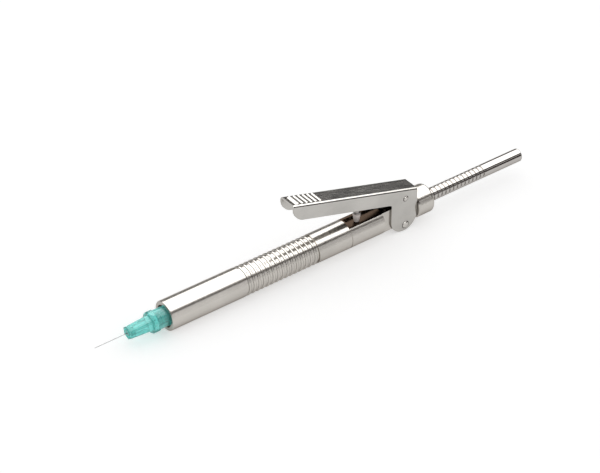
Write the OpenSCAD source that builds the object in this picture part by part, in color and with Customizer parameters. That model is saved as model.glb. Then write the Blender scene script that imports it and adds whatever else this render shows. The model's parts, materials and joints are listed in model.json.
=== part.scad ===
// Pen-shaped dental syringe with a squeeze lever that drives a ring-grooved plunger rod.
// The axis of the syringe is X: the needle points to -X and the rod leaves at +X.
// The lever is on top (+Z). X = 0 is where the barrel's full diameter starts, behind
// the rounded front rim. All sizes are in millimetres, all angles in degrees.

/* [Barrel] */
// Outside diameter of barrel and body
barrel_d = 12; // [11.6:0.1:14.4]
// Length of the barrel from the front rim's rounding to the seam
barrel_len = 82.7; // [80:0.1:100]
// Rounding of the front rim
rim_r = 0.5; // [0.2:0.1:0.6]
// Thickness of the wall at the barrel's front end
front_wall = 2; // [1.5:0.1:4]
// Depth of the pocket that the needle hub's skirt enters
pocket_depth = 1.5; // [1:0.1:3]
// Radial gap between the hub's skirt and the pocket
pocket_gap = 0.6; // [0.3:0.1:0.8]
// Chamfer on both sides of the seam
seam_chamfer = 0.15; // [0.05:0.05:0.3]

/* [Grip] */
// Start of the ringed grip
grip_start = 32.9; // [20:0.1:40]
// Spacing of the grip's beads
grip_pitch = 2.2; // [1.6:0.1:2.7]
// Number of beads
grip_beads = 15; // [6:1:17]
// Depth of the grooves between the beads
grip_depth = 0.45; // [0.2:0.05:0.55]
// Radius of a bead's round top
bead_r = 0.62; // [0.5:0.01:0.7]

/* [Cartridge] */
// Outside diameter of the glass
glass_d = 8.65; // [8.5:0.05:8.8]
// Wall of the glass
glass_wall = 0.9; // [0.7:0.05:1.1]
// Length of the cartridge with its cap
cartridge_len = 63.55; // [60:0.05:66]
// Length of the rubber stopper
stopper_len = 4.45; // [3:0.05:6]
// Depth of the stopper behind the glass's open end when full
stopper_inset = 2.1; // [1:0.1:4]
// Wall of the plastic liner around the glass
liner_wall = 0.575; // [0.4:0.025:0.6]
// Length of the liner behind the glass
liner_extra = 1.4; // [0.5:0.1:3]
// Length of the cushion ring behind the liner
cushion_len = 1.9; // [1:0.1:3]

/* [Needle] */
// Outside diameter of the cannula (30 gauge)
cannula_d = 0.3; // [0.25:0.01:0.5]
// Length of the cannula in front of the hub
needle_out = 14; // [8:0.5:38]
// Length of the cannula behind the front of the cartridge
needle_in = 4.5; // [3:0.5:8]
// Length of the hub's ribbed nose
hub_nose_len = 9.3; // [6:0.1:12]
// Length of the hub's flange
hub_flange_len = 2.4; // [1.5:0.1:4]
// Length of the hub's skirt in front of the barrel's rim
hub_skirt_len = 4.4; // [3:0.1:8]
// Diameter of the nose at its front end
hub_tip_d = 5.4; // [4:0.1:6]
// Diameter of the nose where it meets the flange
hub_nose_d = 6.6; // [5:0.1:7]
// Diameter of the flange over its corners
hub_flange_d = 9.1; // [8.4:0.1:10]
// Diameter of the skirt
hub_skirt_d = 7.9; // [7:0.1:8.2]

/* [Body] */
// Length of the round stretch behind the seam
round_len = 16.2; // [14:0.1:20]
// Length of the flat-sided hinge block
block_len = 17.3; // [16:0.1:21]
// Height of the flat cut above the axis
flat_z = 4.7; // [4.2:0.1:5]
// Height of the recess floor above the axis
floor_z = 3.7; // [3.4:0.1:4]
// Width of the recess
recess_w = 5.2; // [4:0.1:6]
// Distance from the seam to the brake plunger
plunger_back = 6.4; // [5:0.1:8]
// Length of the rear nut
nut_len = 7.8; // [7.8:0.1:12]
// Rounding of the nut's rear edge
nut_round = 1.1; // [0.3:0.1:1.5]
// Outer diameter of the thread inside the nut
stub_d = 8.8; // [8.4:0.1:9.6]

/* [Rod] */
// Diameter of the rod
rod_d = 5.46; // [5:0.02:6]
// Length of the rod behind the nut at rest
rod_out = 48.8; // [40:0.1:60]
// Length of the smooth tail
rod_tail = 20.1; // [10:0.1:25]
// Spacing of the ring grooves
ring_pitch = 2; // [1.2:0.1:2.4]
// Depth of the ring grooves
ring_depth = 0.4; // [0.2:0.05:0.6]
// Width of a ring groove at its mouth
ring_mouth = 0.85; // [0.5:0.05:1]
// Width of a ring groove at its root
ring_root = 0.5; // [0.3:0.05:0.7]
// Diameter of the piston disc on the rod's front end
piston_d = 6.4; // [5.6:0.1:6.6]

/* [Lever] */
// Width over the lever's two sides
lever_w = 8.4; // [8:0.1:10]
// Thickness of the sheet
sheet = 0.7; // [0.5:0.05:0.8]
// Length of the top plate
lever_len = 62.4; // [50:0.1:75]
// Angle of the plate to the barrel when the lever is up
lever_tilt = 16.07; // [14:0.01:18]
// Height of the sides, square to the plate
flange_h = 6.4; // [5.5:0.05:6.5]
// Outer radius of the bend between plate and side
bend_r = 1.1; // [0.8:0.1:1.5]
// Height of the plate's rear edge above the barrel's top
plate_rise = 4.1; // [3.8:0.1:5]
// Radius of the round hinge ears
ear_r = 6.4; // [5:0.1:7]
// Height of the hinge ears' centre under the axis
ear_drop = 1.3; // [1:0.1:2]
// Radius of the sides' front corner
front_r = 6.6; // [4:0.1:8]
// Radius of the inside corner in front of the ears
notch_r = 1.2; // [0.5:0.1:2]
// Number of ridges on the thumb pad
pad_ridges = 6; // [3:1:10]
// Spacing of the ridges
pad_pitch = 2.2; // [1.5:0.1:3]
// Height of the ridges
pad_rise = 0.3; // [0.1:0.05:0.5]

/* [Hinges] */
// Diameter of the hinge pin
hinge_pin_d = 2; // [1.6:0.1:2.4]
// Distance of the hinge pin in front of the nut
hinge_ahead = 5.8; // [5:0.1:7]
// Depth of the hinge pin above the barrel's underside
hinge_above = 0.9; // [0.7:0.1:1.4]
// Diameter of the pawl pin
pawl_pin_d = 1.5; // [1.2:0.1:1.8]
// Distance of the pawl pin in front of the hinge pin
pawl_ahead = 0.3; // [0:0.1:1]
// Height of the pawl pin above the barrel's top
pawl_above = 1.54; // [1.4:0.02:2]
// Distance of the pawl's edge in front of the pawl pin
pawl_reach = 3.9; // [3:0.1:4.5]
// Height of a rivet head
head_h = 0.3; // [0.15:0.05:0.5]

/* [Fits] */
// Radial clearance of parts that turn or slide in each other
fit = 0.05; // [0.02:0.01:0.08]
// Clearance between flat faces that move past each other
side_gap = 0.1; // [0.05:0.05:0.2]

/* [Hidden] */
$fn = 72;
eps = 0.01;                                  // overlap of cutting tools
long = 300;                                  // longer than anything here

barrel_r = barrel_d / 2;
rod_r = rod_d / 2;
rod_bore = rod_r + fit;
glass_r = glass_d / 2;
liner_in = glass_r + fit;
liner_out = liner_in + liner_wall;
barrel_bore = liner_out + fit;

// Places along X, from the needle to the rod
front_x = -rim_r;                            // barrel's front face
wall_x = pocket_depth;                       // front of the barrel's end wall
bore_x = wall_x + front_wall;                // front end of the main bore
seal_len = 0.4;
adapter_flange = 1.1;
stack_gap = 0.05;                            // gap between stacked flat faces
cartridge_x = bore_x + seal_len + adapter_flange + stack_gap;
glass_end = cartridge_x + cartridge_len;
stopper_x = glass_end - stopper_inset - stopper_len;
liner_end = glass_end + liner_extra;
spigot_x = liner_end + stack_gap + cushion_len + stack_gap;
seam_x = barrel_len;
step_x = seam_x + round_len;
nut_x = step_x + block_len;
nut_end = nut_x + nut_len;
stub_end = nut_end - 2.6;                    // rear end of the body's threaded stub
rod_end = nut_end + rod_out;
plunger_x = seam_x + plunger_back;

// Cartridge details
glass_in = glass_r - glass_wall;
cap_wall = 0.2;
diaphragm_len = 1.2;
lip_len = 2.4;
lip_r = 3.5;
neck_r = 2.9;
neck_len = 1.3;
shoulder_len = 2;
cap_r = lip_r + cap_wall + stack_gap;
lip_x = cartridge_x + cap_wall + diaphragm_len;
neck_x = lip_x + lip_len;

// Needle hub and the adapter that it screws onto
hub_in = 0.9;                                // how far the skirt enters the pocket
skirt_r = hub_skirt_d / 2;
skirt_x = front_x - hub_skirt_len;
flange_x = skirt_x - hub_flange_len;
hub_x = flange_x - hub_nose_len;
hub_end = front_x + hub_in;
nose_r = 2.6;
nose_x = skirt_x + 0.6;
needle_r = cannula_d / 2;
needle_fit = 0.02;
thread_pitch = 0.8;
thread_depth = 0.3;
adapter_r = nose_r + 0.95;

// Hinge, lever and pawl, in the XZ plane with the lever up
hinge_pin_r = hinge_pin_d / 2;
hinge_x = nut_x - hinge_ahead;
hinge_z = hinge_above - barrel_r;
pawl_pin_r = pawl_pin_d / 2;
pawl_x = hinge_x - pawl_ahead;
pawl_z = barrel_r + pawl_above;
ear_gap = 0.2;                               // rest gap between the ears and the nut
ear_x = nut_x - ear_gap - ear_r;
ear_z = -ear_drop;
plate_end_x = ear_x + ear_r;
plate_end_z = barrel_r + plate_rise;
plate_x = plate_end_x - lever_len * cos(lever_tilt);
block_w = lever_w - 2 * sheet - 2 * side_gap;
tip_gap = 0.12;                              // pawl edge above the rings
tip_x = pawl_x - pawl_reach;
tip_z = rod_r + tip_gap;
slot_w = 3.4;
pawl_w = slot_w - 0.4;
hub_r = 1.6;                                 // radius of the pawl's hub
stroke = 4;                                  // travel of the pawl's edge per squeeze
hook_r = 0.35;                               // stub on the pawl that its spring pushes
hook = [pawl_x - 1.5, pawl_z - 1.85];

// Body's spigot with its O-ring, pawl slot, rear stub and the parts in the nut
spigot_pitch = 1;
o_ring_r = 0.46;
o_ring_x = seam_x - 1.5;
o_groove_r = barrel_bore - 2 * o_ring_r - 0.04;
o_groove_half = 0.6;
recess_start = 1.5;                          // distance of the recess from the seam
rear_collar = 1.5;                           // full-height stretch in front of the nut
pawl_slot_x = tip_x - stroke - 1.7;
pawl_slot_end = pawl_x - 0.6;
bush_r = rod_bore + 0.8;
bush_x = nut_x + 1;
nut_wall = 1.2;                              // thickness of the nut's rear wall
friction_r = 0.55;
ring_nip = 0.03;                             // gap between the friction ring and the rod
friction_seat_r = rod_r + ring_nip + 2 * friction_r + stack_gap;

// Brake plunger and the lever's spring on top of it
plunger_r = 1;
spring_seat_z = 7.4;
wire_r = 0.2;
spring_r = 1.25;
spring_turns = 7;

// Rod and its piston
tail_x = rod_end - rod_tail;
ring_start = tip_x - 5 * ring_pitch;
ring_count = floor((tail_x - ring_mouth / 2 - ring_start) / ring_pitch);
piston_x = stopper_x + stopper_len + stack_gap;
piston_len = 3.85;
stud_r = 1.2;
stud_len = 3.5;

function plate_z(x) = plate_end_z + (plate_end_x - x) * tan(lever_tilt);
function flange_z(x) = plate_z(x) - flange_h / cos(lever_tilt);
function under_z(x) = plate_z(x) - sheet / cos(lever_tilt);

// ---------------------------------------------------------------- helpers

// Turns a profile of (radius, X) about the syringe's axis
module turned() {
    rotate([0, 90, 0]) rotate_extrude($fn = 96) children();
}

// Band of a turned profile: radii r0 to r1, from x0 to x1
module band(r0, r1, x0, x1) {
    translate([r0, x0]) square([r1 - r0, x1 - x0]);
}

// Extrudes a side view, drawn as (X, Z), to a width centred on Y = 0
module side_view(width) {
    rotate([90, 0, 0]) linear_extrude(height = width, center = true) children();
}

// Cylinder along Y, centred on Y = 0
module cross_pin(x, z, r, width) {
    translate([x, 0, z]) rotate([90, 0, 0]) cylinder(r = r, h = width, center = true);
}

// Round bar bent along a list of points that run mostly square to the axis ref
module bent_wire(points, r, ref, sides = 8) {
    count = len(points);
    function unit(v) = v / norm(v);
    function ahead(i) = unit(points[min(i + 1, count - 1)] - points[max(i - 1, 0)]);
    function across(i) = unit(cross(ahead(i), ref));
    function ring(i) = [for (k = [0 : sides - 1])
        let (u = across(i), w = cross(ahead(i), u), a = 360 * k / sides)
        points[i] + r * (cos(a) * u + sin(a) * w)];
    verts = [for (i = [0 : count - 1]) each ring(i)];
    side_faces = [for (i = [0 : count - 2], k = [0 : sides - 1])
        let (a = i * sides + k, b = i * sides + (k + 1) % sides)
        each [[a, b, b + sides], [a, b + sides, a + sides]]];
    first = [for (k = [sides - 1 : -1 : 0]) k];
    last = [for (k = [0 : sides - 1]) (count - 1) * sides + k];
    polyhedron(points = verts, faces = concat(side_faces, [first, last]), convexity = 8);
}

// Rivet along Y: shank, and a low domed head outside each side of the lever
module rivet(x, z, shank_r, head_r) {
    dome_r = (head_r * head_r + head_h * head_h) / (2 * head_h);
    cross_pin(x, z, shank_r, lever_w + eps);
    for (side = [-1, 1])
        translate([x, side * lever_w / 2, z]) rotate([-side * 90, 0, 0])
            rotate_extrude() intersection() {
                translate([0, head_h - dome_r]) circle(r = dome_r, $fn = 96);
                square([head_r + eps, head_h + eps]);
            }
}

// ---------------------------------------------------------------- barrel group

module barrel() {
    grip_len = grip_beads * grip_pitch + (grip_pitch - 2 * bead_r) + 0.1;
    first_bead = grip_start + (grip_len - grip_pitch * (grip_beads - 1)) / 2;
    color("silver") turned() difference() {
        union() {
            difference() {
                union() {
                    band(0, barrel_r, 0, barrel_len - seam_chamfer);
                    band(0, barrel_r - seam_chamfer, 0, barrel_len);
                    band(0, barrel_r - rim_r, front_x, 1);
                    translate([barrel_r - rim_r, 0]) circle(r = rim_r);
                }
                band(barrel_r - grip_depth, barrel_r + 1, grip_start, grip_start + grip_len);
            }
            for (i = [0 : grip_beads - 1])
                translate([barrel_r - bead_r, first_bead + i * grip_pitch])
                    circle(r = bead_r, $fn = 48);
        }
        band(-1, skirt_r + pocket_gap, front_x - 1, wall_x);
        band(-1, adapter_r + fit, wall_x - eps, bore_x + eps);
        band(-1, barrel_bore, bore_x, barrel_len + 1);
    }
}

module needle_adapter() {
    flange_at = bore_x + seal_len;
    color("gainsboro") turned() difference() {
        union() {
            band(0, nose_r - thread_depth, nose_x, flange_at);
            for (x = [nose_x + 0.5 : thread_pitch : wall_x - 1])
                band(0, nose_r, x, x + thread_pitch / 2);
            band(0, adapter_r, wall_x, flange_at);
            band(0, barrel_bore - fit, flange_at, flange_at + adapter_flange);
        }
        band(-1, 1, nose_x - 1, bore_x + 10);
    }
}

module adapter_seal() {
    color("dimgray") turned()
        band(adapter_r + fit, barrel_bore - fit, bore_x, bore_x + seal_len);
}

module needle_hub() {
    tip_r = hub_tip_d / 2;
    core_r = 1.3;
    color("mediumturquoise", 0.8) difference() {
        union() {
            hub_nose();
            hub_flange();
            turned() band(0, skirt_r, skirt_x - eps, hub_end);
        }
        // open front end around the cannula's core
        turned() band(core_r, tip_r - 0.75, hub_x - 1, hub_x + 2.2);
        // threaded socket for the adapter's nose
        turned() band(0, nose_r + fit, nose_x - 0.6, hub_end + 1);
        turned() band(0, needle_r + needle_fit, hub_x - 1, nose_x);
    }
}

// Cone towards the needle with six flats, so that its corners stand as ribs
module hub_nose() {
    tip_r = hub_tip_d / 2;
    root_r = hub_nose_d / 2;
    slope = atan((root_r - tip_r) / hub_nose_len);
    flat = 0.9;
    difference() {
        translate([hub_x, 0, 0]) rotate([0, 90, 0])
            cylinder(r1 = tip_r, r2 = root_r, h = hub_nose_len + eps);
        for (a = [0 : 60 : 300])
            rotate([a + 20, 0, 0]) translate([hub_x, 0, tip_r * flat]) rotate([0, -slope, 0])
                translate([-1, -5, 0]) cube([hub_nose_len + 3, 10, 5]);
    }
}

// Flange with eight flats and a sloped front
module hub_flange() {
    r = hub_flange_d / 2;
    flat = 0.93;
    difference() {
        turned() polygon([[0, flange_x], [r * 0.86, flange_x], [r, flange_x + 0.7],
                          [r, skirt_x], [0, skirt_x]]);
        for (a = [0 : 45 : 315])
            rotate([a, 0, 0]) translate([flange_x - 1, -5, r * flat])
                cube([hub_flange_len + 2, 10, 5]);
    }
}

module needle_cannula() {
    bevel = 70;
    color("lightgray") difference() {
        turned() band(0, needle_r, hub_x - needle_out, cartridge_x + needle_in);
        translate([hub_x - needle_out, 0, -needle_r]) rotate([0, -bevel, 0])
            translate([-5, 0, 0]) cube([10, 1, 4], center = true);
    }
}

// ---------------------------------------------------------------- cartridge

module cartridge_sleeve() {
    color("white") turned() band(liner_in, liner_out, cartridge_x, liner_end);
}

module cartridge_glass() {
    shoulder = neck_x + neck_len;
    body_x = shoulder + shoulder_len;
    color("azure", 0.35) turned() difference() {
        union() {
            band(0, lip_r, lip_x, neck_x);
            band(0, neck_r, neck_x - eps, shoulder);
            polygon([[0, shoulder - eps], [neck_r, shoulder - eps], [glass_r, body_x],
                     [glass_r, glass_end], [0, glass_end]]);
        }
        band(-1, neck_r - glass_wall, lip_x - 1, shoulder + 1);
        polygon([[-1, shoulder], [neck_r - glass_wall, shoulder], [glass_in, body_x],
                 [glass_in, glass_end + 1], [-1, glass_end + 1]]);
    }
}

module cartridge_cap() {
    color("lightsteelblue") turned() difference() {
        band(0, cap_r, cartridge_x, neck_x + cap_wall + stack_gap);
        band(-1, 1.5, cartridge_x - 1, long);
        band(-1, lip_r + stack_gap, cartridge_x + cap_wall, neck_x + stack_gap);
        band(-1, neck_r + 0.2, neck_x, long);
    }
}

module cartridge_diaphragm() {
    color("sienna") turned()
        band(needle_r + needle_fit, lip_r, cartridge_x + cap_wall, lip_x);
}

module cartridge_stopper() {
    groove_len = stopper_len / 7;
    groove_depth = 0.35;
    wipe_gap = 0.03;
    color("sienna") turned() difference() {
        band(0, glass_in - wipe_gap, stopper_x, stopper_x + stopper_len);
        for (k = [2, 4.2])
            band(glass_in - groove_depth, glass_in + 1, stopper_x + k * groove_len,
                 stopper_x + (k + 1) * groove_len);
    }
}

module cartridge_cushion() {
    color("dimgray") turned()
        band(piston_d / 2 + 0.3, barrel_bore - fit, liner_end + stack_gap,
             liner_end + stack_gap + cushion_len);
}

// ---------------------------------------------------------------- body group

module body() {
    spigot_r = barrel_bore - fit;
    spigot_groove = 0.35;
    lug_r = hinge_pin_r + 1.4;
    color("silver") difference() {
        union() {
            turned() union() {
                band(0, spigot_r, spigot_x, seam_x);
                band(0, barrel_r, seam_x + seam_chamfer, step_x);
                band(0, barrel_r - seam_chamfer, seam_x, seam_x + 1);
                band(0, stub_d / 2, nut_x - eps, stub_end);
            }
            intersection() {
                turned() band(0, barrel_r, step_x - 1, nut_x);
                translate([step_x - 1, -block_w / 2, -barrel_r])
                    cube([block_len + 1, block_w, barrel_d]);
            }
            cross_pin(hinge_x, hinge_z, lug_r, block_w);
            translate([hinge_x - lug_r, -block_w / 2, hinge_z])
                cube([2 * lug_r, block_w, -hinge_z - rod_bore]);
        }
        // bore for the rod and seat for its bush
        turned() band(0, rod_bore, spigot_x - 1, nut_end);
        turned() band(0, bush_r + fit, bush_x, nut_end);
        // thread and seal groove on the spigot
        turned() for (x = [spigot_x + 1 : spigot_pitch : o_ring_x - 2])
            band(spigot_r - spigot_groove, spigot_r + 1, x, x + spigot_pitch / 2);
        turned() band(o_groove_r, spigot_r + 1, o_ring_x - o_groove_half,
                      o_ring_x + o_groove_half);
        // flat top, recess, slot for the pawl and hole for the brake plunger
        translate([seam_x - eps, -barrel_r, flat_z])
            cube([nut_x - seam_x - rear_collar, barrel_d, barrel_r]);
        translate([seam_x + recess_start, -recess_w / 2, floor_z])
            cube([pawl_slot_x + 1 - seam_x - recess_start, recess_w, barrel_r]);
        translate([pawl_slot_x, -slot_w / 2, 0])
            cube([pawl_slot_end - pawl_slot_x, slot_w, barrel_r]);
        translate([plunger_x, 0, 0]) cylinder(r = plunger_r + fit, h = barrel_r);
        cross_pin(hinge_x, hinge_z, hinge_pin_r + fit, barrel_d);
    }
}

module barrel_o_ring() {
    color("dimgray") turned()
        translate([o_groove_r + o_ring_r + 0.01, o_ring_x]) circle(r = o_ring_r, $fn = 32);
}

module rear_nut() {
    chamfer = 0.5;
    nut_r = barrel_r - 0.05;
    color("silver") turned() difference() {
        union() {
            band(0, nut_r - chamfer, nut_x, nut_x + 1);
            polygon([[0, nut_x], [nut_r - chamfer, nut_x], [nut_r, nut_x + chamfer],
                     [nut_r, nut_x + chamfer + 1], [0, nut_x + chamfer + 1]]);
            band(0, nut_r, nut_x + chamfer, nut_end - nut_round);
            band(0, nut_r - nut_round, nut_x, nut_end);
            translate([nut_r - nut_round, nut_end - nut_round]) circle(r = nut_round);
        }
        band(-2, stub_d / 2 + fit, nut_x - 1, stub_end + stack_gap);
        band(-2, friction_seat_r, nut_x, nut_end - nut_wall);
        band(-2, rod_r + 2 * fit, nut_x, nut_end + 1);
    }
}

module rod_bush() {
    color("peru") turned()
        band(rod_bore, bush_r, bush_x, stub_end);
}

module friction_ring() {
    color("black") turned()
        translate([rod_r + ring_nip + friction_r, nut_end - nut_wall - friction_r - stack_gap])
            circle(r = friction_r, $fn = 32);
}

module brake_plunger() {
    cone_z = floor_z + stack_gap;
    head_r = 1.6;
    color("seashell") translate([plunger_x, 0, 0]) rotate_extrude($fn = 48) union() {
        translate([0, rod_r + stack_gap]) square([plunger_r, 2]);
        polygon([[0, cone_z], [plunger_r + 0.05, cone_z], [head_r, spring_seat_z - 0.5],
                 [head_r, spring_seat_z], [0, spring_seat_z]]);
        translate([0, cone_z]) square([spring_r - wire_r - 0.15, spring_seat_z + 2 - cone_z]);
    }
}

module lever_spring() {
    steps = 14;
    base = spring_seat_z + wire_r + stack_gap;
    top = under_z(plunger_x + spring_r + wire_r) - wire_r - stack_gap;
    points = [for (i = [0 : spring_turns * steps])
        let (a = 360 * i / steps)
        [plunger_x + spring_r * cos(a), spring_r * sin(a),
         base + (top - base) * i / (spring_turns * steps)]];
    color("lightgray") bent_wire(points, wire_r, [0, 0, 1]);
}

// ---------------------------------------------------------------- rod group

module ratchet_rod() {
    round_end = 0.5;
    front = piston_x + piston_len;
    color("silver") turned() difference() {
        union() {
            band(0, rod_r, front, rod_end - round_end);
            band(0, rod_r - round_end, front, rod_end);
            translate([rod_r - round_end, rod_end - round_end]) circle(r = round_end);
        }
        for (i = [0 : ring_count])
            translate([rod_r, ring_start + i * ring_pitch])
                polygon([[-ring_depth, -ring_root / 2], [-ring_depth, ring_root / 2],
                         [0, ring_mouth / 2], [1, ring_mouth / 2],
                         [1, -ring_mouth / 2], [0, -ring_mouth / 2]]);
        band(-1, stud_r + fit, front - 1, front + stud_len + 0.5);
    }
}

module piston_tip() {
    chamfer = 0.4;
    r = piston_d / 2;
    color("gainsboro") turned() union() {
        polygon([[0, piston_x], [r - chamfer, piston_x], [r, piston_x + chamfer],
                 [r, piston_x + piston_len - 1], [r - 0.7, piston_x + piston_len],
                 [0, piston_x + piston_len]]);
        band(0, stud_r, piston_x, piston_x + piston_len + stud_len);
    }
}

// ---------------------------------------------------------------- lever group

// Side view of the lever: plate band with a rounded front corner, ears, inside corner
module lever_side() {
    bite = 0.1;                              // how far the front arc runs past the edges
    along = [cos(lever_tilt), -sin(lever_tilt)];
    down = [-sin(lever_tilt), -cos(lever_tilt)];
    front = [plate_x, plate_z(plate_x)];
    heel = [plate_end_x, flange_z(plate_end_x)];
    corner = front + (front_r - bite) * along + (flange_h + bite / 2 - front_r) * down;
    ear_front = ear_x - ear_r;
    notch = [ear_front - notch_r, flange_z(ear_front - notch_r) - notch_r / cos(lever_tilt)];
    difference() {
        union() {
            intersection() {
                polygon([front, front + flange_h * down, heel, [plate_end_x, plate_end_z]]);
                union() {
                    translate(corner) circle(r = front_r, $fn = 96);
                    translate(corner) rotate(-lever_tilt) translate([0, -2 * front_r])
                        square([2 * lever_len, 4 * front_r]);
                }
            }
            polygon([[ear_front, ear_z], [plate_end_x, ear_z],
                     [plate_end_x, plate_end_z], [ear_front, plate_z(ear_front)]]);
            translate([ear_x, ear_z]) circle(r = ear_r, $fn = 96);
            polygon([[ear_front, flange_z(ear_front) + 1], notch - notch_r * down
                     + [0, 1], notch - notch_r * down, notch, [ear_front, notch[1]]]);
        }
        translate(notch) circle(r = notch_r, $fn = 48);
    }
}

// Round-cornered block: width w, top at z = 0, corners of radius r
module rounded_top(w, r) {
    translate([-w / 2, -long]) square([w, long - r]);
    translate([-w / 2 + r, -long]) square([w - 2 * r, long]);
    for (side = [-1, 1])
        translate([side * (w / 2 - r), -r]) circle(r = r, $fn = 48);
}

// Children drawn with X along the plate from its front edge and Z = 0 on its face
module on_plate() {
    translate([plate_x, 0, plate_z(plate_x)]) rotate([0, lever_tilt, 0]) children();
}

module lever() {
    inner_w = lever_w - 2 * sheet;
    first_ridge = 3.2;
    ridge_r = 0.95;
    ridge_w = lever_w - 2 * bend_r - 0.3;
    groove_r = 2.2;
    color("silver") difference() {
        union() {
            intersection() {
                side_view(lever_w + 2) lever_side();
                on_plate() translate([-20, 0, 0]) rotate([90, 0, 90])
                    linear_extrude(height = lever_len + 60) difference() {
                        rounded_top(lever_w, bend_r);
                        translate([0, -sheet]) rounded_top(inner_w, bend_r - sheet);
                    }
            }
            on_plate() intersection() {
                for (i = [0 : pad_ridges - 1])
                    cross_pin(first_ridge + i * pad_pitch, pad_rise - ridge_r, ridge_r,
                              ridge_w);
                translate([0, -lever_w / 2, -sheet / 2]) cube([lever_len, lever_w, 2]);
            }
        }
        on_plate() cross_pin(1.5, groove_r - 0.2, groove_r, ridge_w);
        cross_pin(hinge_x, hinge_z, hinge_pin_r + 0.02, lever_w + 2);
        cross_pin(pawl_x, pawl_z, pawl_pin_r + 0.02, lever_w + 2);
    }
}

module hinge_pin() {
    color("gainsboro") rivet(hinge_x, hinge_z, hinge_pin_r, hinge_pin_r + 0.45);
}

module pawl_pin() {
    color("gainsboro") rivet(pawl_x, pawl_z, pawl_pin_r, pawl_pin_r + 0.3);
}

module drive_pawl() {
    hub_end_y = block_w / 2;
    color("gray") difference() {
        union() {
            // hub, off to one side so that the spring fits beside it
            translate([pawl_x, pawl_w / 2, pawl_z]) rotate([90, 0, 0])
                cylinder(r = hub_r, h = pawl_w / 2 + hub_end_y);
            side_view(pawl_w) polygon([
                [pawl_x + 1.4, pawl_z - 0.7], [tip_x + 1.1, tip_z + 1.2],
                [tip_x + 0.25, tip_z], [tip_x - 0.25, tip_z],
                [tip_x - 0.4, tip_z + 1.2], [pawl_x - 1.5, pawl_z + 0.5]]);
            translate([hook[0], pawl_w / 2 + 0.6, hook[1]]) rotate([90, 0, 0])
                cylinder(r = hook_r, h = 1.2);
        }
        cross_pin(pawl_x, pawl_z, pawl_pin_r + fit, lever_w);
    }
}

// Torsion spring round the pawl pin: one leg up to the plate, one behind the hook
module pawl_spring() {
    wire = 0.15;
    coil_r = pawl_pin_r + 0.3;
    turns = 3;
    steps = 16;
    y0 = pawl_w / 2 + 0.25;
    y1 = block_w / 2 - wire;
    coil = [for (i = [0 : turns * steps])
        let (a = 180 - 360 * i / steps)
        [pawl_x + coil_r * cos(a), y0 + (y1 - y0) * i / (turns * steps),
         pawl_z + coil_r * sin(a)]];
    hook_leg = [hook[0] - 2 * hook_r, y0, hook[1] - 0.1];
    plate_leg_x = pawl_x - 1.5;
    plate_leg = [plate_leg_x, y1, under_z(plate_leg_x) - wire - 0.1];
    color("lightgray")
        bent_wire(concat([hook_leg], coil, [plate_leg]), wire, [0, 1, 0], 6);
}

// ---------------------------------------------------------------- nodes

barrel();
needle_adapter();
adapter_seal();
needle_hub();
needle_cannula();
cartridge_sleeve();
cartridge_glass();
cartridge_cap();
cartridge_diaphragm();
cartridge_stopper();
cartridge_cushion();
body();
barrel_o_ring();
rear_nut();
rod_bush();
friction_ring();
brake_plunger();
lever_spring();
ratchet_rod();
piston_tip();
lever();
hinge_pin();
pawl_pin();
drive_pawl();
pawl_spring();
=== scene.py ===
"""Studio scene of a lever-ratchet dental syringe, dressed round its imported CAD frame."""
import json
import math

import bpy
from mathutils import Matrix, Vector


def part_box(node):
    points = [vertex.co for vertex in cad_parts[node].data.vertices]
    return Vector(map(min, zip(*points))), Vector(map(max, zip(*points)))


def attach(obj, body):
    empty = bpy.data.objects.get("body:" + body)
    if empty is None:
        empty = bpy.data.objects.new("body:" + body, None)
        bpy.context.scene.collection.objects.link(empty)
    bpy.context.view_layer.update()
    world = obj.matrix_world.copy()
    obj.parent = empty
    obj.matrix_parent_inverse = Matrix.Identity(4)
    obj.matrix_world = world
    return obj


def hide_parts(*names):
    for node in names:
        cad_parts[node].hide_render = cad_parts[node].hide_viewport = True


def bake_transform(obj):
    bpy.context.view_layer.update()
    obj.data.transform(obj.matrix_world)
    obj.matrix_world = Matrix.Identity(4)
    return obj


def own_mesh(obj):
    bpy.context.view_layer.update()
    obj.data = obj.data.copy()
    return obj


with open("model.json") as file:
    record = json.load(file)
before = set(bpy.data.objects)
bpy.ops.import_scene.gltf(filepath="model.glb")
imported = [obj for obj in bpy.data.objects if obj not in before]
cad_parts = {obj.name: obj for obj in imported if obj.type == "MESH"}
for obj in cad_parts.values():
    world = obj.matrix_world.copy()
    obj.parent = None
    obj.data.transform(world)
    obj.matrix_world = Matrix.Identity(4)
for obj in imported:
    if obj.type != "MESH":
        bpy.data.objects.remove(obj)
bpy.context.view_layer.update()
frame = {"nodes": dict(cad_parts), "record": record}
scene = bpy.context.scene
nodes = frame["nodes"]
MM = 0.001

# Camera
CAMERA_AT = (-0.3133, -0.4990, 0.4781)
LOOK_AT = (0.0618, 0.0, 0.00843)
LENS = 123.75
SENSOR = 36.0
CLIP = (0.01, 50.0)

# Light
WORLD_LIGHT = 0.60        # strength of the world on matte surfaces
SOFTBOX = {"x": (-0.55, 1.15), "y": (-0.40, 1.20), "z": 0.60}
REFLECTED = 2.1           # radiance of the softbox in metal
FILL = 1.20               # radiance of the softbox on matte surfaces
BROWN = (0.035, 0.022, 0.018)
GREY = (0.13, 0.13, 0.135)
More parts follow.
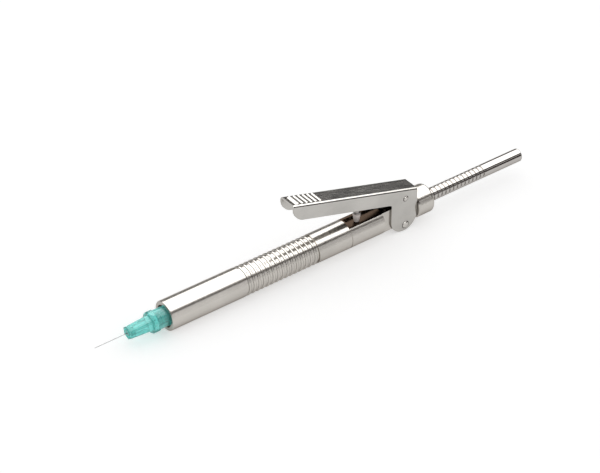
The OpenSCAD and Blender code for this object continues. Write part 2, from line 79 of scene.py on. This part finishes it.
# Dark flags that only metal and gloss see: (colour, X range, Y range, Z range)
FLAGS = {
    "front": (BROWN, (-1.6, 1.6), (-0.88, -0.47), (0.60, 0.60)),
    "low_right": (BROWN, (1.15, 3.20), (-1.60, -1.60), (-0.02, 0.85)),
    "left": (BROWN, (-1.20, -1.20), (-1.50, 1.00), (-0.02, 0.62)),
    "right": (BROWN, (1.90, 1.90), (-1.10, 0.45), (-0.02, 0.70)),
    "behind_barrel": (GREY, (-0.60, 0.80), (1.00, 1.00), (-0.02, 0.38)),
    "behind_lever": (GREY, (0.80, 2.20), (1.00, 1.00), (-0.02, 0.85)),
}
FLOOR_GLOW = 0.46         # lifts the floor to white where metal, glass or the camera sees it


# ---------------------------------------------------------------- shader helpers

NOISE_MIDDLE = (0.3, 0.7)         # the part of a noise's range that is put to use
METAL_CLOUDS = 70                 # clouds per metre in a metal's colour
SOFT_CLOUDS = 200                 # clouds per metre in a plastic's colour
SOFT_ROUGH_VARY = 0.15            # share by which a plastic's roughness varies


def new_material(name):
    """A node material with only its Principled shader and output: (material, shader)."""
    mat = bpy.data.materials.new(name)
    mat.use_nodes = True
    return mat, mat.node_tree.nodes["Principled BSDF"]


def add(tree, kind, **values):
    """A node of that kind. Values go to its sockets by name, or to its properties."""
    n = tree.nodes.new(kind)
    for key, value in values.items():
        if key in n.inputs:
            n.inputs[key].default_value = value
        else:
            setattr(n, key, value)
    return n


def noise(tree, stretch, detail=4.0, roughness=0.55):
    """Noise in object coordinates, with that many features per metre along each axis."""
    coord = add(tree, "ShaderNodeTexCoord")
    mapping = add(tree, "ShaderNodeMapping", Scale=stretch)
    tex = add(tree, "ShaderNodeTexNoise", Scale=1.0, Detail=detail, Roughness=roughness)
    tree.links.new(coord.outputs["Object"], mapping.inputs["Vector"])
    tree.links.new(mapping.outputs["Vector"], tex.inputs["Vector"])
    return tex.outputs["Fac"]


def spread(tree, fac, low, high):
    """Maps the middle of a noise's range to low..high."""
    low_in, high_in = NOISE_MIDDLE
    n = add(tree, "ShaderNodeMapRange", **{"From Min": low_in, "From Max": high_in,
                                           "To Min": low, "To Max": high})
    tree.links.new(fac, n.inputs["Value"])
    return n.outputs["Result"]


def two_tone(tree, fac, low, high):
    """Blends from colour low to colour high by fac."""
    n = add(tree, "ShaderNodeValToRGB")
    for element, position, colour in zip(n.color_ramp.elements, NOISE_MIDDLE, (low, high)):
        element.position = position
        element.color = (*colour, 1)
    tree.links.new(fac, n.inputs["Fac"])
    return n.outputs["Color"]


def bump(tree, shader, height, distance):
    """Tilts the shader's normal as if the surface rose by height, up to distance metres."""
    n = add(tree, "ShaderNodeBump", Strength=1.0, Distance=distance)
    tree.links.new(height, n.inputs["Height"])
    tree.links.new(n.outputs["Normal"], shader.inputs["Normal"])


def cloudy_colour(tree, shader, colour, vary, clouds, detail):
    """Base colour that drifts from darker to lighter than colour by the share vary."""
    dark = tuple(c * (1 - vary) for c in colour)
    light = tuple(min(1.0, c * (1 + vary)) for c in colour)
    cloudy = noise(tree, (clouds,) * 3, detail=detail)
    tree.links.new(two_tone(tree, cloudy, dark, light), shader.inputs["Base Color"])


def metal(name, colour, rough, grain, depth=0.002 * MM, vary=0.05, spread_rough=0.04):
    """Metal with lines or grain: features per metre along X, Y and Z in grain."""
    mat, shader = new_material(name)
    tree = mat.node_tree
    shader.inputs["Metallic"].default_value = 1.0
    shader.inputs["Specular Tint"].default_value = EDGE
    cloudy_colour(tree, shader, colour, vary, METAL_CLOUDS, detail=3.0)
    fine = noise(tree, grain)
    tree.links.new(spread(tree, fine, rough - spread_rough, rough + spread_rough),
                   shader.inputs["Roughness"])
    bump(tree, shader, fine, depth)
    return mat


def soft(name, colour, rough, grain=1500.0, depth=0.01 * MM, vary=0.06, **sockets):
    """Plastic, rubber or glass with an even fine grain."""
    mat, shader = new_material(name)
    tree = mat.node_tree
    for key, value in sockets.items():
        shader.inputs[key.replace("_", " ")].default_value = value
    cloudy_colour(tree, shader, colour, vary, SOFT_CLOUDS, detail=2.0)
    fine = noise(tree, (grain,) * 3)
    low, high = rough * (1 - SOFT_ROUGH_VARY), rough * (1 + SOFT_ROUGH_VARY)
    tree.links.new(spread(tree, fine, low, high), shader.inputs["Roughness"])
    bump(tree, shader, fine, depth)
    return mat


# ---------------------------------------------------------------- materials

STEEL = (0.52, 0.495, 0.46)
EDGE = (0.45, 0.43, 0.41, 1)       # metal seen edge on
ROUND_LINES = (5000, 60, 60)       # machining lines run round the axis
LONG_LINES = (25, 2600, 500)       # brushed lines run along the lever
EVEN_GRAIN = (900, 900, 900)
MATERIALS = {
    "polished_steel": metal("polished_steel", STEEL, 0.23, ROUND_LINES),
    "lever_steel": metal("lever_steel", (0.49, 0.475, 0.45), 0.20, LONG_LINES,
                         depth=0.006 * MM, vary=0.08, spread_rough=0.07),
    "rod_steel": metal("rod_steel", (0.46, 0.44, 0.42), 0.12, ROUND_LINES),
    "pin_steel": metal("pin_steel", (0.56, 0.54, 0.51), 0.10, EVEN_GRAIN),
    "inner_steel": metal("inner_steel", (0.45, 0.43, 0.41), 0.28, ROUND_LINES),
    "needle_steel": metal("needle_steel", (0.34, 0.34, 0.34), 0.25, (60, 4000, 4000)),
    "spring_steel": metal("spring_steel", (0.42, 0.42, 0.42), 0.22, EVEN_GRAIN),
    "hub_plastic": soft("hub_plastic", (0.24, 0.80, 0.75), 0.14, Transmission_Weight=0.7,
                        IOR=1.49),
    "liner_plastic": soft("liner_plastic", (0.80, 0.80, 0.78), 0.45),
    "brake_plastic": soft("brake_plastic", (0.93, 0.84, 0.80), 0.38),
    "cartridge_glass": soft("cartridge_glass", (0.92, 0.97, 0.97), 0.03, depth=0.001 * MM,
                            vary=0.01, Transmission_Weight=1.0, IOR=1.47),
    "cap_aluminium": metal("cap_aluminium", (0.72, 0.72, 0.73), 0.25, ROUND_LINES),
    "stopper_rubber": soft("stopper_rubber", (0.13, 0.07, 0.045), 0.6),
    "seal_rubber": soft("seal_rubber", (0.02, 0.02, 0.02), 0.55),
    "bush_bronze": metal("bush_bronze", (0.55, 0.33, 0.15), 0.35, EVEN_GRAIN),
}


# The window's milled flats lie in the lever's shade, and that shade is painted on them as a dark
# colour
MILLED_Z = (3.5 * MM, 4.8 * MM)     # heights of the window's milled flats above the axis
MILLED_FACING = 0.97                # how squarely a milled flat faces up
MILLED_SHADE_COLOUR = (0.045, 0.032, 0.024, 1)


def mask(tree, value, operation, limit):
    """1 where value is above or below limit, as operation says, else 0."""
    n = add(tree, "ShaderNodeMath", operation=operation)
    tree.links.new(value, n.inputs[0])
    n.inputs[1].default_value = limit
    return n.outputs[0]


def painted_window_shade(mat):
    """The body's steel, with painted shade on the flats that the window is milled down to, where
    they lie under the lever.
    """
    tree = mat.node_tree
    shader = tree.nodes["Principled BSDF"]
    place = add(tree, "ShaderNodeSeparateXYZ")
    facing = add(tree, "ShaderNodeSeparateXYZ")
    tree.links.new(add(tree, "ShaderNodeTexCoord").outputs["Object"], place.inputs[0])
    tree.links.new(add(tree, "ShaderNodeTexCoord").outputs["Normal"], facing.inputs[0])
    fac = mask(tree, facing.outputs["Z"], "GREATER_THAN", MILLED_FACING)
    for operation, limit in (("GREATER_THAN", MILLED_Z[0]), ("LESS_THAN", MILLED_Z[1])):
        both = add(tree, "ShaderNodeMath", operation="MULTIPLY")
        tree.links.new(fac, both.inputs[0])
        tree.links.new(mask(tree, place.outputs["Z"], operation, limit), both.inputs[1])
        fac = both.outputs[0]
    polished = shader.inputs["Base Color"].links[0].from_socket
    mix = add(tree, "ShaderNodeMix", data_type="RGBA")
    colour_a, colour_b = [i for i in mix.inputs if i.type == "RGBA"]
    colour_b.default_value = MILLED_SHADE_COLOUR
    tree.links.new(polished, colour_a)
    tree.links.new(fac, mix.inputs["Factor"])
    tree.links.new([o for o in mix.outputs if o.type == "RGBA"][0],
                   shader.inputs["Base Color"])
    return mat


def dress(obj, material):
    """Gives the object that material and no other."""
    obj.data.materials.clear()
    obj.data.materials.append(material)


for part in frame["record"]["subparts"]:
    dress(nodes[part["node"]], MATERIALS[part["material_slot"]])
dress(nodes["body"], painted_window_shade(metal("body_steel", STEEL, 0.23, ROUND_LINES)))


# ---------------------------------------------------------------- springs

CLOSED_RISE = 2.2                  # rise of a spring's closed end turn, in wire radii


def mesh_object(name, verts, faces):
    """A new object of those vertices and faces, linked to the scene."""
    mesh = bpy.data.meshes.new(name)
    mesh.from_pydata(verts, [], faces)
    obj = bpy.data.objects.new(name, mesh)
    scene.collection.objects.link(obj)
    return obj


def coil(name, centre, radius, z0, z1, turns, wire, steps=20, sides=10):
    """Compression spring of round wire along Z, closed at its ends. wire is the wire's radius."""
    def height(t):
        """Share of the spring's height at the share t of its length."""
        end = CLOSED_RISE * wire / (z1 - z0)
        if t < 1 / turns:
            return end * t * turns
        if t > 1 - 1 / turns:
            return 1 - end * (1 - t) * turns
        return end + (1 - 2 * end) * (t - 1 / turns) / (1 - 2 / turns)

    count = turns * steps
    verts, faces = [], []
    for i in range(count + 1):
        a = 2 * math.pi * i / steps
        out = Vector((math.cos(a), math.sin(a), 0))
        middle = Vector(centre) + out * radius
        middle.z = z0 + wire + (z1 - z0 - 2 * wire) * height(i / count)
        for k in range(sides):
            b = 2 * math.pi * k / sides
            verts.append(middle + wire * (math.cos(b) * out + math.sin(b) * Vector((0, 0, 1))))
    for i in range(count):
        for k in range(sides):
            a, b = i * sides + k, i * sides + (k + 1) % sides
            faces.append((a, b, b + sides, a + sides))
    faces.append(tuple(range(sides))[::-1])
    faces.append(tuple(count * sides + k for k in range(sides)))
    obj = mesh_object(name, verts, faces)
    obj.data.shade_smooth()
    return obj


SPRING_TURNS = 7
SPRING_WIRE = 0.2 * MM             # radius of its wire
low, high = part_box("lever_spring")
spring_x, spring_r = (low[0] + high[0]) / 2, (high[0] - low[0]) / 2 - SPRING_WIRE
spring = coil("lever_coil", (spring_x, 0, 0), spring_r, low[2], high[2], SPRING_TURNS,
              SPRING_WIRE)
dress(spring, MATERIALS["spring_steel"])
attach(spring, "handle")
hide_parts("lever_spring")
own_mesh(spring)


# The pawl's torsion spring is copied from its CAD part, which is hidden; its upper leg lies under
# the plate, its lower on the pawl
pawl_coil = bpy.data.objects.new("pawl_coil", nodes["pawl_spring"].data.copy())
scene.collection.objects.link(pawl_coil)
low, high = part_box("pawl_pin")
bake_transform(pawl_coil)
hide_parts("pawl_spring")


# ---------------------------------------------------------------- rivet heads

def lathe_y(name, centre, side, profile, material, steps=48):
    """Turns a profile of (radius, height) about Y at centre, standing out to that side."""
    verts, faces = [], []
    count = len(profile)
    for i in range(steps):
        a = 2 * math.pi * i / steps
        for r, h in profile:
            verts.append((centre[0] + r * math.cos(a), side * (centre[1] + h),
                          centre[2] + r * math.sin(a)))
    for i in range(steps):
        j = (i + 1) % steps
        for k in range(count - 1):
            face = (i * count + k, i * count + k + 1, j * count + k + 1, j * count + k)
            faces.append(face if side < 0 else face[::-1])
    obj = mesh_object(name, verts, faces)
    obj.data.shade_smooth()
    dress(obj, material)
    return obj


HEAD_RISE = 0.62 * MM               # how far a head's crown stands off the lever's side
SEAT_WIDTH = 0.22 * MM              # width of the seat round a head, painted dark as the shade of the groove there
SEAT_LIFT = 0.02 * MM
SEAT_BEVEL = 0.8                    # share of the seat's width inside its bevelled edge
SEAT_INNER = 0.9                    # the seat reaches in under the head to this share of it
CROWN_STEP = 6                      # degrees between a crown's rings
POLE_R = 1e-7                       # keeps a crown's last ring from closing to a point
# Painted shade: the seats are dark steel, standing in for the shade in the groove round each head
painted_gap_shade = metal("painted_gap_shade", (0.10, 0.09, 0.085), 0.45, EVEN_GRAIN)
side_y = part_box("lever")[1][1]
for node in ("hinge_pin", "pawl_pin"):
    low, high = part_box(node)
    head_r = (high[0] - low[0]) / 2
    middle = ((low[0] + high[0]) / 2, side_y, (low[2] + high[2]) / 2)
    angles = [math.radians(a) for a in range(0, 91, CROWN_STEP)]
    crown = [(head_r * math.cos(a) + POLE_R, HEAD_RISE * math.sin(a)) for a in angles]
    ring = [(head_r + SEAT_WIDTH, 0), (head_r + SEAT_WIDTH * SEAT_BEVEL, SEAT_LIFT),
            (head_r * SEAT_INNER, SEAT_LIFT)]
    for side, word in ((-1, "near"), (1, "far")):
        for form, profile, material in (("head", crown, MATERIALS["pin_steel"]),
                                        ("seat", ring, painted_gap_shade)):
            piece = lathe_y(f"{node}_{form}_{word}", middle, side, profile, material)
            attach(piece, "lever")


# ---------------------------------------------------------------- studio

def quad(name, corners, material):
    """A four-cornered piece of the studio."""
    obj = mesh_object(name, corners, [(0, 1, 2, 3)])
    dress(obj, material)
    return obj


def seen(tree):
    """1 where a camera, glossy or transmission ray looks, else 0."""
    path = add(tree, "ShaderNodeLightPath")
    first = add(tree, "ShaderNodeMath", operation="MAXIMUM")
    last = add(tree, "ShaderNodeMath", operation="MAXIMUM")
    tree.links.new(path.outputs["Is Camera Ray"], first.inputs[0])
    tree.links.new(path.outputs["Is Glossy Ray"], first.inputs[1])
    tree.links.new(first.outputs[0], last.inputs[0])
    tree.links.new(path.outputs["Is Transmission Ray"], last.inputs[1])
    return last.outputs[0]


def floor_material():
    """Matte white that glows a little where it is looked at, so that only shadow shows."""
    mat, shader = new_material("studio_floor")
    tree = mat.node_tree
    shader.inputs["Base Color"].default_value = (0.80, 0.80, 0.80, 1)
    shader.inputs["Roughness"].default_value = 1.0
    shader.inputs["Specular IOR Level"].default_value = 0.0
    shader.inputs["Emission Color"].default_value = (1, 1, 1, 1)
    glow = add(tree, "ShaderNodeMath", operation="MULTIPLY")
    glow.inputs[1].default_value = FLOOR_GLOW
    tree.links.new(seen(tree), glow.inputs[0])
    tree.links.new(glow.outputs[0], shader.inputs["Emission Strength"])
    return mat


def card_material(name, colour):
    """Unlit black that glows evenly in that colour, for a flag."""
    mat, shader = new_material(name)
    shader.inputs["Base Color"].default_value = (0, 0, 0, 1)
    shader.inputs["Specular IOR Level"].default_value = 0.0
    shader.inputs["Emission Color"].default_value = (*colour, 1)
    shader.inputs["Emission Strength"].default_value = 1.0
    return mat


def only_reflected(obj):
    """Hides the object from everything but reflections."""
    obj.visible_camera = obj.visible_diffuse = obj.visible_shadow = False
    obj.visible_transmission = False


# The object lies on the lever's ears and on the barrel's front rim
EAR_CONTACT = 6.6 * MM             # how far before the rear nut the ears touch the floor
FLOOR_HALF = 6.0
FLOOR_GAP = 0.05 * MM
rest_a = Vector((0, 0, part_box("barrel")[0][2]))
rest_b = Vector((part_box("rear_nut")[0][0] - EAR_CONTACT, 0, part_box("lever")[0][2]))
slope = (rest_b.z - rest_a.z) / (rest_b.x - rest_a.x)


def floor_z(x):
    """Height of the sloping floor at x."""
    return rest_a.z - FLOOR_GAP + slope * x


quad("studio_floor", [(x, y, floor_z(x)) for x, y in
                      ((-FLOOR_HALF, -FLOOR_HALF), (FLOOR_HALF, -FLOOR_HALF),
                       (FLOOR_HALF, FLOOR_HALF), (-FLOOR_HALF, FLOOR_HALF))],
     floor_material())


def flag_corners(x_range, y_range, z_range):
    """Corners of a level flag, or of an upright one that runs from x0, y0 to x1, y1."""
    (x0, x1), (y0, y1), (z0, z1) = x_range, y_range, z_range
    if z0 == z1:
        return [(x0, y0, z0), (x1, y0, z0), (x1, y1, z0), (x0, y1, z0)]
    return [(x0, y0, z0), (x1, y1, z0), (x1, y1, z1), (x0, y0, z1)]


for name, (colour, *ranges) in FLAGS.items():
    only_reflected(quad(f"studio_flag_{name}", flag_corners(*ranges),
                        card_material(f"flag_{name}", colour)))


def softbox(name, spec, radiance, reflected):
    """Overhead area lamp over the rectangle x, y at height z: seen in gloss, or a fill."""
    (x0, x1), (y0, y1) = spec["x"], spec["y"]
    data = bpy.data.lights.new(name, "AREA")
    data.shape = "RECTANGLE"
    data.size, data.size_y = x1 - x0, y1 - y0
    data.energy = radiance * math.pi * data.size * data.size_y
    lamp = bpy.data.objects.new(name, data)
    lamp.location = ((x0 + x1) / 2, (y0 + y1) / 2, spec["z"])
    lamp.visible_glossy = reflected
    lamp.visible_diffuse = not reflected
    lamp.visible_transmission = not reflected
    scene.collection.objects.link(lamp)


softbox("softbox_gloss", SOFTBOX, REFLECTED, True)
softbox("softbox_fill", SOFTBOX, FILL, False)

world = bpy.data.worlds.new("studio")
scene.world = world
world.use_nodes = True
tree = world.node_tree
background = tree.nodes["Background"]
background.inputs["Color"].default_value = (1, 1, 1, 1)
level = add(tree, "ShaderNodeMapRange")
level.inputs["To Min"].default_value = WORLD_LIGHT
level.inputs["To Max"].default_value = 1.0
tree.links.new(seen(tree), level.inputs["Value"])
tree.links.new(level.outputs["Result"], background.inputs["Strength"])

# ---------------------------------------------------------------- camera

camera = bpy.data.objects.new("camera", bpy.data.cameras.new("camera"))
scene.collection.objects.link(camera)
camera.data.sensor_width = SENSOR
camera.data.lens = LENS
camera.data.clip_start, camera.data.clip_end = CLIP
camera.location = CAMERA_AT
camera.rotation_mode = "QUATERNION"
camera.rotation_quaternion = (Vector(LOOK_AT) - Vector(CAMERA_AT)).to_track_quat("-Z", "Y")
scene.camera = camera
scene.view_settings.view_transform = "Standard"
